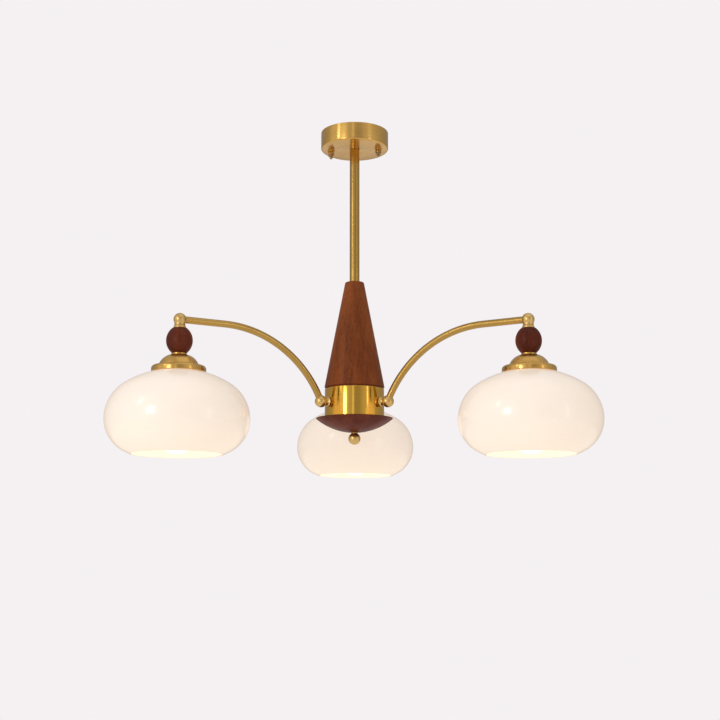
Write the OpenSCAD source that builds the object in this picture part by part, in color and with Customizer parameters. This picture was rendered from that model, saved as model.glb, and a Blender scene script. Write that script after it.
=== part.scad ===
// Three-arm ceiling chandelier: brass canopy and stem, turned wooden cone and dish,
// brass hub, curved tube arms and oval opal glass shades that open downwards.
// The origin is the middle of the face that meets the ceiling, and the light hangs
// below it along -Z. Lengths are in millimetres.

/* [Canopy] */
// Diameter of the ceiling canopy
canopy_d = 104; // [100:1:125]
// Height of the ceiling canopy
canopy_h = 27; // [27:1:40]
// Thickness of the canopy's sheet
canopy_wall = 1.2; // [0.8:0.1:2]
// Distance between the two studs that carry the canopy
stud_spacing = 74; // [72:1:76]
// How far the bracket and its studs are turned from the X axis
bracket_turn = -8; // [-45:1:45]

/* [Stem and cone] */
// Diameter of the stem tube
stem_d = 15; // [13:0.5:18]
// Length of stem that shows between the canopy and the cone
stem_len = 211; // [100:1:600]
// Diameter of the cone at its top
cone_top_d = 28.5; // [24:0.5:36]
// Diameter of the cone at its base
cone_base_d = 90.5; // [88:0.5:92]
// Height of the cone
cone_h = 164; // [120:1:200]

/* [Hub] */
// Diameter of the hub drum
hub_d = 89; // [86:1:92]
// Height of the hub drum
hub_h = 44; // [40:1:60]
// Diameter of the wooden dish under the hub
dish_d = 116; // [100:1:130]
// Depth of the wooden dish
dish_h = 21.5; // [16:0.5:26]
// Diameter of the finial's ball
finial_d = 18; // [16:0.5:24]

/* [Arms] */
// Distance from the stem's axis to each lamp's axis
lamp_reach = 281; // [265:1:340]
// Outer diameter of the arm tube
arm_d = 10; // [9:0.5:10]
// Radius of the arm's bend, at the tube's middle
bend_r = 170; // [140:1:175]
// Slope at which the arm leaves the hub ball, in degrees
bend_angle = 66; // [56:1:70]
// Diameter of the brass balls at both ends of the arm
ball_d = 18; // [17:0.5:19]

/* [Lamps] */
// Largest diameter of the wooden bead
bead_d = 37; // [32:0.5:38]
// Height of the wooden bead
bead_h = 35.5; // [32:0.5:40]
// Diameter of the glass shade at its widest
shade_d = 200; // [180:1:204]
// Diameter of the shade's open mouth
shade_mouth_d = 127; // [116:1:132]
// Thickness of the glass
glass_wall = 3; // [2.5:0.1:3]
// Diameter of the bulb
bulb_d = 60; // [50:1:60]

/* [Hidden] */
SIDES = ["left", "right", "back"];
ARM_ANGLES = [210, 330, 90];
LAMP_NODES = ["knuckle", "knuckle_nut", "arm_tube", "elbow", "collar", "bead", "cap",
    "nipple", "lampholder", "shade_ring", "shade", "bulb_globe", "bulb_base"];

$fn = 64;
satin_brass = "#c59b52";
bright_brass = "#cfa043";
walnut = "#7a3a22";
dark_walnut = "#542318";
opal = "#f8efe4";
zinc = "#b9bcc0";
cream = "#ece6da";

// Clearances: a thread or a turning fit, a loose hole, and a gap between moving parts
fit = 0.05;
loose = 0.3;
face_gap = 0.05;
cut = 1;

// M4 fixings of the bracket
bracket_l = 92;
bracket_w = 22;
bracket_t = 2;
bracket_step = 5;
bracket_flat = 60;
ceiling_hole_spacing = 50;
ceiling_hole_d = 5;
stud_d = 4;
stud_head_d = 7.5;
stud_head_h = 2.5;
stud_hole_d = 4.6;
earth_screw_x = 16.5;
washer_t = 1;
nut_washer_d = 11.5;
nut_drum_h = 5.5;
nut_bore_depth = 5.2;

// M10 pipe, which joins the stem, hub and lamps, and its nuts
pipe_d = 10;
pipe_bore_d = 7;
pipe_nut_d = 16.2;
pipe_nut_h = 5;
pipe_in_stem = 12;
wire_bore_d = 6;
tie_rod_d = 6;

// Levels, measured up from the ceiling face
stem_top = -canopy_h;
cone_top = stem_top - stem_len;
hub_top = cone_top - cone_h;
hub_r = hub_d / 2;
hub_wall = 1.5;
hub_bottom = hub_top - hub_h;
dish_bottom = hub_bottom - dish_h;
knuckle_z = hub_top - hub_h / 2;
ball_seat = 12.5;
knuckle_r = hub_r + ball_seat;
finial_z = dish_bottom - finial_d / 2;

// Arm: one bend out of the hub ball, then a level end
arm_wall = 1;
arm_inset = 5.5;
inset_angle = arm_inset / bend_r * 180 / PI;
elbow_z = knuckle_z + bend_r * (1 - cos(bend_angle));
bend_end = knuckle_r + bend_r * sin(bend_angle);

// Lamp levels, measured up from the middle of the elbow ball
neck_d = 15.4;
neck_z = -8;
collar_d = 17.6;
bead_top = -ball_seat;
bead_flat_d = 20;
bead_steps = 12;
cap_top = bead_top - bead_h;
cap_wall = 1.2;
cap_lip_d = 21.3;
cap_lip_h = 3;
cap_dome_r = 22;
cap_dome_x = 7;
cap_dome_z = cap_top - 24;
cap_step_z = cap_top - 18;
cap_rim_d = 76;
cap_rim_fillet = 5;
cap_bottom = cap_top - 27;

// Shade: an oval of four arcs, a flatter pair above its widest level and one below
shade_r = shade_d / 2;
shade_rise = 70;
shade_fall = 62;
upper_side_r = 58;
lower_side_r = 50;
shade_hole_r = 21;
upper_arc_r = oval_arc(shade_rise, upper_side_r);
lower_arc_r = oval_arc(shade_fall, lower_side_r);
seat_r = cap_rim_d / 2 - cap_wall;
shade_mid = cap_bottom - loose - arc_height(upper_arc_r, shade_rise, seat_r);
shade_mouth = shade_mid - arc_height(lower_arc_r, shade_fall, shade_mouth_d / 2);

// Lampholder and bulb
holder_top = cap_top - 3.6;
holder_neck_r = 17;
holder_flange_r = 26;
holder_flange_z = shade_mid + arc_height(upper_arc_r, shade_rise, shade_hole_r) + loose;
skirt_r = 20;
socket_r = 13.7;
socket_top = cap_bottom - 2;
skirt_bottom = socket_top - 26.7;
ring_h = 7;
ring_r = 25.8;
ring_top = shade_mid + arc_height(upper_arc_r - glass_wall, shade_rise - glass_wall, holder_flange_r)
    - loose;
base_r = 13.1;
base_thread_pitch = 3.6;
globe_top = skirt_bottom - loose;
globe_r = bulb_d / 2;
globe_z = shade_mouth + 1 + globe_r;
globe_neck_r = 13.5;
globe_wall = 1.2;

// Radius of the flatter arc of an oval with one half-height and one side arc
function oval_arc(half_height, side_r) =
    (pow(shade_r - side_r, 2) + pow(half_height, 2) - pow(side_r, 2))
        / (2 * (half_height - side_r));

// Height of that flatter arc above the oval's widest level, at a distance from the axis
function arc_height(arc_r, half_height, from_axis) =
    sqrt(pow(arc_r, 2) - pow(from_axis, 2)) - (arc_r - half_height);

module at_arm(i) {
    rotate([0, 0, ARM_ANGLES[i]])
        children();
}

module at_lamp(i) {
    at_arm(i)
        translate([lamp_reach, 0, elbow_z])
            children();
}

module at_stud(side) {
    rotate([0, 0, bracket_turn])
        translate([side * stud_spacing / 2, 0, 0])
            children();
}

module tube(outer_d, inner_d, low, high) {
    difference() {
        translate([0, 0, low])
            cylinder(d = outer_d, h = high - low);
        translate([0, 0, low - cut])
            cylinder(d = inner_d, h = high - low + 2 * cut);
    }
}

module hex_nut(across, bore_d, height) {
    difference() {
        intersection() {
            cylinder(d = across, h = height, $fn = 6);
            cylinder(d1 = across - 1 + 2 * height, d2 = across - 1, h = height);
        }
        translate([0, 0, -cut])
            cylinder(d = bore_d, h = height + 2 * cut);
    }
}

// Ceiling bracket: a bar whose ends step down to leave room for the stud heads
module ceiling_bracket() {
    end = bracket_l / 2;
    flat = bracket_flat / 2;
    slope = bracket_step / 2;
    drop = -bracket_step;
    top_edge = [[-end, drop], [-flat - slope, drop], [-flat, 0], [flat, 0],
        [flat + slope, drop], [end, drop]];
    bottom_edge = [for (i = [5:-1:0]) top_edge[i] - [0, bracket_t]];
    color(zinc)
        rotate([0, 0, bracket_turn])
            difference() {
                translate([0, bracket_w / 2, 0])
                    rotate([90, 0, 0])
                        linear_extrude(bracket_w)
                            polygon(concat(top_edge, bottom_edge));
                for (side = [-1, 1]) {
                    translate([side * ceiling_hole_spacing / 2, 0, -bracket_t - cut])
                        cylinder(d = ceiling_hole_d, h = bracket_t + 2 * cut);
                    translate([side * stud_spacing / 2, 0, drop - bracket_t - cut])
                        cylinder(d = stud_d + 2 * fit, h = bracket_t + 2 * cut);
                }
                translate([earth_screw_x, 0, -bracket_t - cut])
                    cylinder(d = stud_d, h = bracket_t + 2 * cut);
            }
}

module pan_head(d, height) {
    intersection() {
        cylinder(d = d, h = height);
        translate([0, 0, height - d])
            sphere(r = d);
    }
}

// Two screws that hang through the bracket's ends, heads up
module canopy_studs() {
    stud_end = stem_top - washer_t - nut_bore_depth;
    color(zinc)
        for (side = [-1, 1])
            at_stud(side) {
                translate([0, 0, -bracket_step])
                    pan_head(stud_head_d, stud_head_h);
                translate([0, 0, stud_end])
                    cylinder(d = stud_d, h = -bracket_step - stud_end);
            }
}

module earth_screw() {
    color(satin_brass)
        rotate([0, 0, bracket_turn])
            translate([earth_screw_x, 0, -bracket_t])
                union() {
                    cylinder(d = stud_d, h = bracket_t - loose);
                    mirror([0, 0, 1])
                        pan_head(stud_head_d - 0.5, stud_head_h);
                }
}

// Three-way terminal block under the middle of the bracket
module terminal_block() {
    block = [24, 16, 11];
    way = 7.5;
    color(cream)
        rotate([0, 0, bracket_turn])
            translate([0, 0, -bracket_t - block[2]])
                difference() {
                    translate([-block[0] / 2, -block[1] / 2, 0])
                        cube(block);
                    for (i = [-1:1]) {
                        translate([i * way, 0, 6])
                            rotate([90, 0, 0])
                                cylinder(d = 3.5, h = block[1] + 2 * cut, center = true);
                        for (side = [-1, 1])
                            translate([i * way, side * 4, -cut])
                                cylinder(d = 3.2, h = 5);
                    }
                    for (i = [-1, 1])
                        translate([i * way / 2, 0, 0])
                            cube([1.2, block[1] + 2 * cut, 6], center = true);
                }
}

// Half section of a cup with a rounded foot, open at the top
module cup_section(r, height, fillet) {
    translate([0, -height + fillet])
        square([r, height - fillet]);
    translate([0, -height])
        square([r - fillet, height]);
    translate([r - fillet, -height + fillet])
        circle(r = fillet);
}

module canopy() {
    foot_fillet = 3;
    color(satin_brass)
        difference() {
            rotate_extrude()
                difference() {
                    cup_section(canopy_d / 2, canopy_h, foot_fillet);
                    translate([0, cut])
                        cup_section(canopy_d / 2 - canopy_wall, canopy_h - canopy_wall + cut,
                            foot_fillet - canopy_wall);
                }
            translate([0, 0, stem_top - cut])
                cylinder(d = pipe_d + 2 * fit, h = 2 * cut + canopy_wall);
            for (side = [-1, 1])
                at_stud(side)
                    translate([0, 0, stem_top - cut])
                        cylinder(d = stud_hole_d, h = 2 * cut + canopy_wall);
        }
}

module canopy_washer(side) {
    color(bright_brass)
        at_stud(side)
            tube(nut_washer_d, stud_d + 0.3, stem_top - face_gap - washer_t, stem_top - face_gap);
}

// Decorative nut: a fluted drum, a disc and a bead, with a blind thread from above
module canopy_nut(side) {
    drum_r = 4.6;
    waist_r = 2.4;
    disc_r = 4.3;
    tip_r = 2.3;
    flutes = 16;
    flute_end = 0.6;
    top = stem_top - 2 * face_gap - washer_t;
    color(bright_brass)
        at_stud(side)
            translate([0, 0, top])
                difference() {
                    union() {
                        rotate_extrude()
                            polygon([[0, 0], [drum_r - 0.4, 0], [drum_r, -0.5],
                                [drum_r, 0.5 - nut_drum_h], [drum_r - 0.4, -nut_drum_h],
                                [waist_r, -nut_drum_h], [waist_r, -nut_drum_h - 0.8],
                                [disc_r, -nut_drum_h - 1.2], [disc_r, -nut_drum_h - 2.2],
                                [waist_r, -nut_drum_h - 2.8], [0, -nut_drum_h - 2.8]]);
                        translate([0, 0, -nut_drum_h - 4.2])
                            sphere(r = tip_r);
                    }
                    translate([0, 0, -nut_bore_depth])
                        cylinder(d = stud_d + 2 * fit, h = nut_bore_depth + cut);
                    for (i = [1:flutes])
                        rotate([0, 0, i * 360 / flutes])
                            translate([drum_r + 0.3, 0, flute_end - nut_drum_h])
                                cylinder(r = 0.6, h = nut_drum_h - 2 * flute_end);
                }
}

// Stem: a tube with thick threaded ends
module stem() {
    color(satin_brass)
        difference() {
            translate([0, 0, hub_top])
                cylinder(d = stem_d, h = stem_top - hub_top);
            translate([0, 0, hub_top - cut])
                cylinder(d = pipe_d, h = stem_top - hub_top + 2 * cut);
            translate([0, 0, hub_top + pipe_in_stem])
                cylinder(d = stem_d - 2, h = stem_top - hub_top - 2 * pipe_in_stem);
        }
}

module stem_pipe() {
    color(zinc)
        tube(pipe_d, pipe_bore_d, stem_top - pipe_in_stem, stem_top + 10.5);
}

module stem_washer() {
    color(zinc)
        tube(24, pipe_d + 2 * fit, stem_top + canopy_wall, stem_top + canopy_wall + 1.5);
}

module stem_nut() {
    color(zinc)
        translate([0, 0, stem_top + canopy_wall + 1.5])
            hex_nut(pipe_nut_d, pipe_d, pipe_nut_h);
}

// Cone: solid wood with eased edges, bored for the stem
module cone() {
    top_r = cone_top_d / 2;
    base_r = cone_base_d / 2;
    ease = 1;
    bore_r = stem_d / 2 + loose;
    color(walnut)
        rotate_extrude()
            polygon([[bore_r, hub_top], [base_r - ease, hub_top], [base_r, hub_top + ease],
                [top_r, cone_top - 2 * ease], [top_r - ease, cone_top - 0.5],
                [top_r - 2 * ease, cone_top], [bore_r, cone_top]]);
}

// Hub drum: a cup with its floor uppermost, which carries the three arms
module hub_drum() {
    floor_t = 2;
    ease = 0.6;
    color(bright_brass)
        difference() {
            rotate_extrude()
                polygon([[0, hub_top], [hub_r - ease, hub_top], [hub_r, hub_top - ease],
                    [hub_r, hub_bottom], [hub_r - hub_wall, hub_bottom],
                    [hub_r - hub_wall, hub_top - floor_t], [0, hub_top - floor_t]]);
            translate([0, 0, hub_top - floor_t - cut])
                cylinder(d = pipe_d + 2 * fit, h = floor_t + 2 * cut);
            for (i = [0:2])
                at_arm(i)
                    translate([hub_r - hub_wall - 5, 0, knuckle_z])
                        rotate([0, 90, 0])
                            cylinder(d = pipe_d + 2 * fit, h = hub_wall + 10);
        }
}

// Pipe below the stem: wires leave through its cross hole, and its foot takes the tie rod
module hub_pipe() {
    bottom = hub_top - 20;
    color(zinc)
        difference() {
            translate([0, 0, bottom])
                cylinder(d = pipe_d, h = 20 + pipe_in_stem - 1);
            translate([0, 0, hub_top - 12])
                cylinder(d = pipe_bore_d, h = 30);
            translate([0, 0, bottom - cut])
                cylinder(d = tie_rod_d, h = 7 + cut);
            translate([0, 0, hub_top - 9.5])
                rotate([90, 0, 0])
                    cylinder(d = 3.6, h = 2 * pipe_d, center = true);
        }
}

module hub_nut() {
    color(zinc)
        translate([0, 0, hub_top - 2 - pipe_nut_h])
            hex_nut(pipe_nut_d, pipe_d, pipe_nut_h);
}

module tie_rod() {
    bottom = finial_z + 0.5;
    color(zinc)
        translate([0, 0, bottom])
            cylinder(d = tie_rod_d, h = hub_top - 13 - bottom);
}

// Dish: part of a ball's outside, with a low step that centres it in the hub
module dish() {
    rim_r = dish_d / 2;
    ball_r = (pow(rim_r, 2) + pow(dish_h, 2)) / (2 * dish_h);
    step_h = 3;
    color(dark_walnut)
        difference() {
            union() {
                rotate_extrude()
                    intersection() {
                        translate([0, dish_bottom + ball_r])
                            circle(r = ball_r);
                        translate([0, dish_bottom - cut])
                            square([dish_d, dish_h + cut - face_gap]);
                    }
                translate([0, 0, hub_bottom - cut])
                    cylinder(r = hub_r - hub_wall - 0.5, h = step_h + cut);
            }
            translate([0, 0, dish_bottom - cut])
                cylinder(d = tie_rod_d + 2 * loose, h = dish_h + step_h + 2 * cut);
        }
}

module finial() {
    neck_top = dish_bottom - face_gap;
    color(bright_brass)
        difference() {
            union() {
                translate([0, 0, finial_z])
                    sphere(d = finial_d);
                translate([0, 0, finial_z])
                    cylinder(d = 10, h = neck_top - finial_z);
            }
            translate([0, 0, finial_z])
                cylinder(d = tie_rod_d + 2 * fit, h = finial_d);
            translate([0, 0, neck_top])
                cylinder(d = finial_d, h = finial_d);
        }
}

// Brass ball with a short round neck along -Z
module ball_and_neck(neck_end) {
    sphere(d = ball_d);
    translate([0, 0, neck_end])
        cylinder(d = neck_d, h = -neck_end);
}

// Ball at the hub: its flared foot and threaded stub point at the stem's axis
module knuckle() {
    foot = -ball_seat + loose;
    stub_end = -ball_seat - hub_wall - 8;
    color(bright_brass)
        translate([knuckle_r, 0, knuckle_z])
            difference() {
                rotate([0, 90, 0])
                    union() {
                        ball_and_neck(neck_z);
                        translate([0, 0, foot])
                            cylinder(d1 = collar_d, d2 = neck_d, h = neck_z - foot);
                        translate([0, 0, stub_end])
                            cylinder(d = pipe_d, h = -stub_end);
                    }
                rotate([0, 90, 0])
                    translate([0, 0, stub_end - cut])
                        cylinder(d = pipe_bore_d, h = 4 + cut - stub_end);
                rotate([0, 90 - bend_angle, 0])
                    translate([0, 0, -1.5])
                        cylinder(d = wire_bore_d, h = arm_inset + 3);
                translate([-knuckle_r, 0, -knuckle_z])
                    bend()
                        circle(d = arm_d);
            }
}

module knuckle_nut() {
    nut_face = sqrt(pow(hub_r - hub_wall, 2) - pow(pipe_nut_d / 2, 2)) - loose;
    color(zinc)
        translate([nut_face, 0, knuckle_z])
            rotate([0, -90, 0])
                hex_nut(pipe_nut_d, pipe_d, pipe_nut_h);
}

// Sweeps a section round the arm's bend, from the level end down into the hub ball
module bend() {
    translate([bend_end, 0, elbow_z - bend_r])
        rotate([90, 0, 0])
            rotate([0, 0, 90])
                rotate_extrude(angle = bend_angle - inset_angle)
                    translate([bend_r, 0])
                        children();
}

module arm_tube() {
    bore_d = arm_d - 2 * arm_wall;
    color(bright_brass) {
        bend()
            difference() {
                circle(d = arm_d);
                circle(d = bore_d);
            }
        translate([bend_end, 0, elbow_z])
            rotate([0, 90, 0])
                tube(arm_d, bore_d, 0, lamp_reach - arm_inset - bend_end);
    }
}

// Ball at the arm's outer end, bored from below for the lamp's pipe
module elbow() {
    color(bright_brass)
        difference() {
            ball_and_neck(neck_z);
            translate([0, 0, neck_z - cut])
                cylinder(d = pipe_bore_d, h = cut - neck_z);
            translate([0, 0, neck_z - cut])
                cylinder(d = pipe_d + 2 * fit, h = cut + 4.6);
            rotate([0, -90, 0]) {
                cylinder(d = pipe_bore_d, h = ball_d);
                translate([0, 0, arm_inset])
                    cylinder(d = arm_d, h = ball_d);
            }
        }
}

module collar() {
    color(bright_brass)
        rotate_extrude()
            polygon([[pipe_d / 2 + 0.1, neck_z - loose], [neck_d / 2, neck_z - loose],
                [neck_d / 2, neck_z - 1.2], [neck_d / 2 + 0.7, neck_z - 1.9],
                [neck_d / 2 + 0.4, neck_z - 2.5], [collar_d / 2, neck_z - 3.2],
                [collar_d / 2, bead_top], [pipe_d / 2 + 0.1, bead_top]]);
}

// Bead: wood turned to one arc between two flats
module bead() {
    waist = (bead_d - bead_flat_d) / 2;
    side = [for (i = [-bead_steps:bead_steps])
        let (up = i / bead_steps)
            [bead_d / 2 - waist * up * up, up * bead_h / 2]];
    bore_r = pipe_d / 2 + loose;
    color(dark_walnut)
        translate([0, 0, bead_top - bead_h / 2])
            rotate_extrude()
                polygon(concat([[bore_r, -bead_h / 2]], side, [[bore_r, bead_h / 2]]));
}

// Half section of the cap's dome and rim, drawn inwards by one inset
module cap_section(inset) {
    rim_r = cap_rim_d / 2 - inset;
    fillet = cap_rim_fillet - inset;
    step = cap_step_z - inset;
    intersection() {
        translate([cap_dome_x, cap_dome_z])
            circle(r = cap_dome_r - inset);
        translate([0, step - cut])
            square([cap_rim_d, cap_dome_r]);
    }
    translate([0, step - fillet])
        square([cap_dome_x + 1, fillet + cap_dome_z + cap_dome_r - cap_step_z]);
    translate([0, cap_bottom - inset])
        square([rim_r, step - fillet - cap_bottom + inset]);
    translate([0, cap_bottom - inset])
        square([rim_r - fillet, step - cap_bottom + inset]);
    translate([rim_r - fillet, step - fillet])
        circle(r = fillet);
}

// Cap: lip, dome and rolled rim in one spun shell, open below
module cap() {
    color(satin_brass)
        difference() {
            union() {
                rotate_extrude()
                    difference() {
                        cap_section(0);
                        cap_section(cap_wall);
                    }
                translate([0, 0, cap_top - cap_lip_h])
                    cylinder(d = cap_lip_d, h = cap_lip_h);
            }
            translate([0, 0, cap_top - cap_lip_h - 2 * cut])
                cylinder(d = pipe_d + 2 * fit, h = cap_lip_h + 3 * cut);
        }
}

module nipple() {
    color(zinc)
        tube(pipe_d, pipe_bore_d, holder_top - 10, neck_z + 4.5);
}

module lampholder() {
    color(cream)
        rotate_extrude()
            polygon([[pipe_d / 2, holder_top], [9, holder_top], [13, holder_top - 2.4],
                [holder_neck_r, holder_top - 6.4], [holder_neck_r, holder_flange_z + 2],
                [holder_flange_r, holder_flange_z + 2], [holder_flange_r, holder_flange_z],
                [skirt_r, holder_flange_z], [skirt_r, skirt_bottom],
                [socket_r, skirt_bottom], [socket_r, socket_top], [3, socket_top],
                [3, holder_top - 10.5], [pipe_d / 2, holder_top - 10.5]]);
}

// Ring that screws up the lampholder's skirt and holds the glass
module shade_ring() {
    notches = 16;
    color(cream)
        translate([0, 0, ring_top - ring_h])
            difference() {
                cylinder(r = ring_r, h = ring_h);
                translate([0, 0, -cut])
                    cylinder(r = skirt_r + fit, h = ring_h + 2 * cut);
                for (i = [1:notches])
                    rotate([0, 0, i * 360 / notches])
                        translate([ring_r + 0.8, 0, -cut])
                            cylinder(r = 2, h = ring_h + 2 * cut);
            }
}

// Half section of the solid oval, drawn inwards by one inset
module oval_section(inset) {
    module half(half_height, side_r, arc_r) {
        centre = [0, half_height - arc_r];
        aim = [shade_r - side_r, arc_r - half_height];
        intersection() {
            union() {
                intersection() {
                    translate(centre)
                        circle(r = arc_r - inset);
                    polygon([centre, centre + 4 * aim, [0, 4 * aim[1]]]);
                }
                translate([shade_r - side_r, 0])
                    circle(r = side_r - inset);
            }
            square([shade_d, shade_d]);
        }
    }
    half(shade_rise, upper_side_r, upper_arc_r);
    mirror([0, 1])
        half(shade_fall, lower_side_r, lower_arc_r);
}

// Shade: blown oval glass, open below, with a hole for the lampholder above
module shade() {
    lip_r = glass_wall / 2;
    mouth = shade_mouth - shade_mid;
    color(opal)
        translate([0, 0, shade_mid])
            rotate_extrude() {
                difference() {
                    oval_section(0);
                    oval_section(glass_wall);
                    translate([0, mouth - shade_d])
                        square([shade_d, shade_d]);
                    square([shade_hole_r, shade_d]);
                }
                translate([shade_mouth_d / 2 - lip_r + 0.3, mouth + 0.4])
                    circle(r = lip_r);
            }
}

// Half section of the bulb's glass: a ball with a cone that runs into its neck
module globe_section(inset) {
    neck = [globe_neck_r - inset, globe_top - globe_z];
    lean = atan2(neck[0], neck[1]) + acos((globe_r - inset) / norm(neck));
    touch = (globe_r - inset) * [sin(lean), cos(lean)];
    intersection() {
        circle(r = globe_r - inset);
        translate([0, -globe_r])
            square([bulb_d, bulb_d]);
    }
    polygon([[0, touch[1]], touch, neck, [0, neck[1]]]);
}

module bulb_globe() {
    color(opal)
        translate([0, 0, globe_z])
            rotate_extrude()
                difference() {
                    globe_section(0);
                    globe_section(globe_wall);
                }
}

// Screw base: a plain core with a rounded ridge for each turn of thread
module bulb_base() {
    contact_h = 1.5;
    turns = 5;
    core_r = base_r - 0.9;
    color(zinc)
        union() {
            translate([0, 0, globe_top])
                cylinder(r = core_r, h = socket_top - globe_top - contact_h - 2);
            translate([0, 0, socket_top - contact_h - 2 - fit])
                cylinder(r1 = core_r, r2 = 4, h = 2);
            translate([0, 0, socket_top - contact_h - fit - 0.5])
                cylinder(r = 4, h = contact_h);
            for (i = [0:turns - 1])
                translate([0, 0, globe_top + 4 + i * base_thread_pitch])
                    rotate_extrude()
                        translate([core_r - 0.3, 0])
                            circle(r = 1.2);
        }
}

ceiling_bracket();
canopy_studs();
earth_screw();
terminal_block();
canopy();
canopy_washer(-1);  // canopy_washer_left
canopy_washer(1);  // canopy_washer_right
canopy_nut(-1);  // canopy_nut_left
canopy_nut(1);  // canopy_nut_right
stem();
stem_pipe();
stem_washer();
stem_nut();
cone();
hub_drum();
hub_pipe();
hub_nut();
tie_rod();
dish();
finial();
for (i = [0:2]) {
    at_arm(i) knuckle();
    at_arm(i) knuckle_nut();
    at_arm(i) arm_tube();
    at_lamp(i) elbow();
    at_lamp(i) collar();
    at_lamp(i) bead();
    at_lamp(i) cap();
    at_lamp(i) nipple();
    at_lamp(i) lampholder();
    at_lamp(i) shade_ring();
    at_lamp(i) shade();
    at_lamp(i) bulb_globe();
    at_lamp(i) bulb_base();
}
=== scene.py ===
import math

import bmesh
import bpy
from mathutils import Matrix, Vector


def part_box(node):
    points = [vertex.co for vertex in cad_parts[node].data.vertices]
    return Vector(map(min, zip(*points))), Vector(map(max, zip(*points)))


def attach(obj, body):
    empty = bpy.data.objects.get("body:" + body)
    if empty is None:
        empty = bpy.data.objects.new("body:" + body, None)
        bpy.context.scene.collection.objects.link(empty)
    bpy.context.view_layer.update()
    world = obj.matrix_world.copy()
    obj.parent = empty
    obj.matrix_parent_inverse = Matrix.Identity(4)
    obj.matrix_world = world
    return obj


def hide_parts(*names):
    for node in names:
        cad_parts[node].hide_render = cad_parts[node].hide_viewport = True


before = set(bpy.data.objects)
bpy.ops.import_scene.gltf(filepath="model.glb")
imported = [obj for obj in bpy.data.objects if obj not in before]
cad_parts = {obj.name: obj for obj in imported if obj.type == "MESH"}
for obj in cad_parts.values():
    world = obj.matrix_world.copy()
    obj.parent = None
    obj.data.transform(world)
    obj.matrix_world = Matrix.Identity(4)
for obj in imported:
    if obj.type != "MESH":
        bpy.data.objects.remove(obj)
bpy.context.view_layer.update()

# Outlines are in millimetres about each piece's own axis; every mesh is in metres.
MM = 0.001
scene = bpy.context.scene
collection = scene.collection

# Each arm's heading, in degrees round from X.
ARMS = {"left": 210, "right": 330, "back": 90}
# The arm: its bend, how far out its lamp hangs, and how far it enters the elbow ball.
BEND_R = 170
BEND_ANGLE = 66
LAMP_REACH = 281
ARM_INSET = 5.5
TUBE_R = 5
# Elbow ball's centre to the underside of its neck.
NECK_DROP = 8
# Sheet that the canopy and caps are spun from, and the play round the seated glass.
SPUN_WALL = 1.2
SEAT_GAP = 0.3
# The shade above and below its widest level: its height, and the radius of its side arc.
SHADE_UPPER = (70, 58)
SHADE_LOWER = (62, 50)
SHADE_WALL = 3
SOFT_EDGE = math.radians(32)


# ---- Places, read from the frame -------------------------------------------------

def bottom(node):
    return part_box(node)[0].z / MM


def top(node):
    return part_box(node)[1].z / MM


def radius(node):
    low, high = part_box(node)
    return (high.x - low.x) / 2 / MM


def axis_place(node):
    """The vertical axis through the middle of a round node, at ceiling level."""
    low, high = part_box(node)
    return Matrix.Translation(((low.x + high.x) / 2, (low.y + high.y) / 2, 0))


def arm_place(side):
    """The vertical plane of one arm: X runs out along the arm, Z up."""
    return Matrix.Rotation(math.radians(ARMS[side]), 4, "Z")


HUB_R = radius("hub_drum")
KNUCKLE_R = HUB_R + 12.5
KNUCKLE_Z = (top("hub_drum") + bottom("hub_drum")) / 2
ELBOW_Z = KNUCKLE_Z + BEND_R * (1 - math.cos(math.radians(BEND_ANGLE)))
BALL_R = radius("finial")
SHADE_R = radius("shade_left")


# ---- Outlines --------------------------------------------------------------------

def rounded(corners, steps=5):
    """A closed outline through corners (r, z, rounding), each turned into an arc."""
    outline = []
    for i, corner in enumerate(corners):
        here = Vector(corner[:2])
        rounding = corner[2] if len(corner) > 2 else 0
        if rounding == 0:
            outline.append(here)
            continue
        back = (Vector(corners[i - 1][:2]) - here).normalized()
        ahead = (Vector(corners[(i + 1) % len(corners)][:2]) - here).normalized()
        half = back.angle(ahead) / 2
        centre = here + (back + ahead).normalized() * rounding / math.sin(half)
        start = here + back * rounding / math.tan(half) - centre
        end = here + ahead * rounding / math.tan(half) - centre
        sweep = start.angle(end)
        for k in range(steps + 1):
            t = k / steps
            spoke = start * math.sin((1 - t) * sweep) + end * math.sin(t * sweep)
            outline.append(centre + spoke / math.sin(sweep))
    return outline


def arc(centre_r, centre_z, size, start, end, steps=16):
    """Points round a centre; angles in degrees from straight up, growing outwards."""
    points = []
    for k in range(steps + 1):
        turn = math.radians(start + (end - start) * k / steps)
        points.append((centre_r + size * math.sin(turn), centre_z + size * math.cos(turn)))
    return points


# ---- Meshes ----------------------------------------------------------------------

def finish_mesh(bm, name):
    mesh = bpy.data.meshes.new(name)
    bm.to_mesh(mesh)
    bm.free()
    mesh.shade_smooth()
    mesh.set_sharp_from_angle(angle=SOFT_EDGE)
    return mesh


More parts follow.
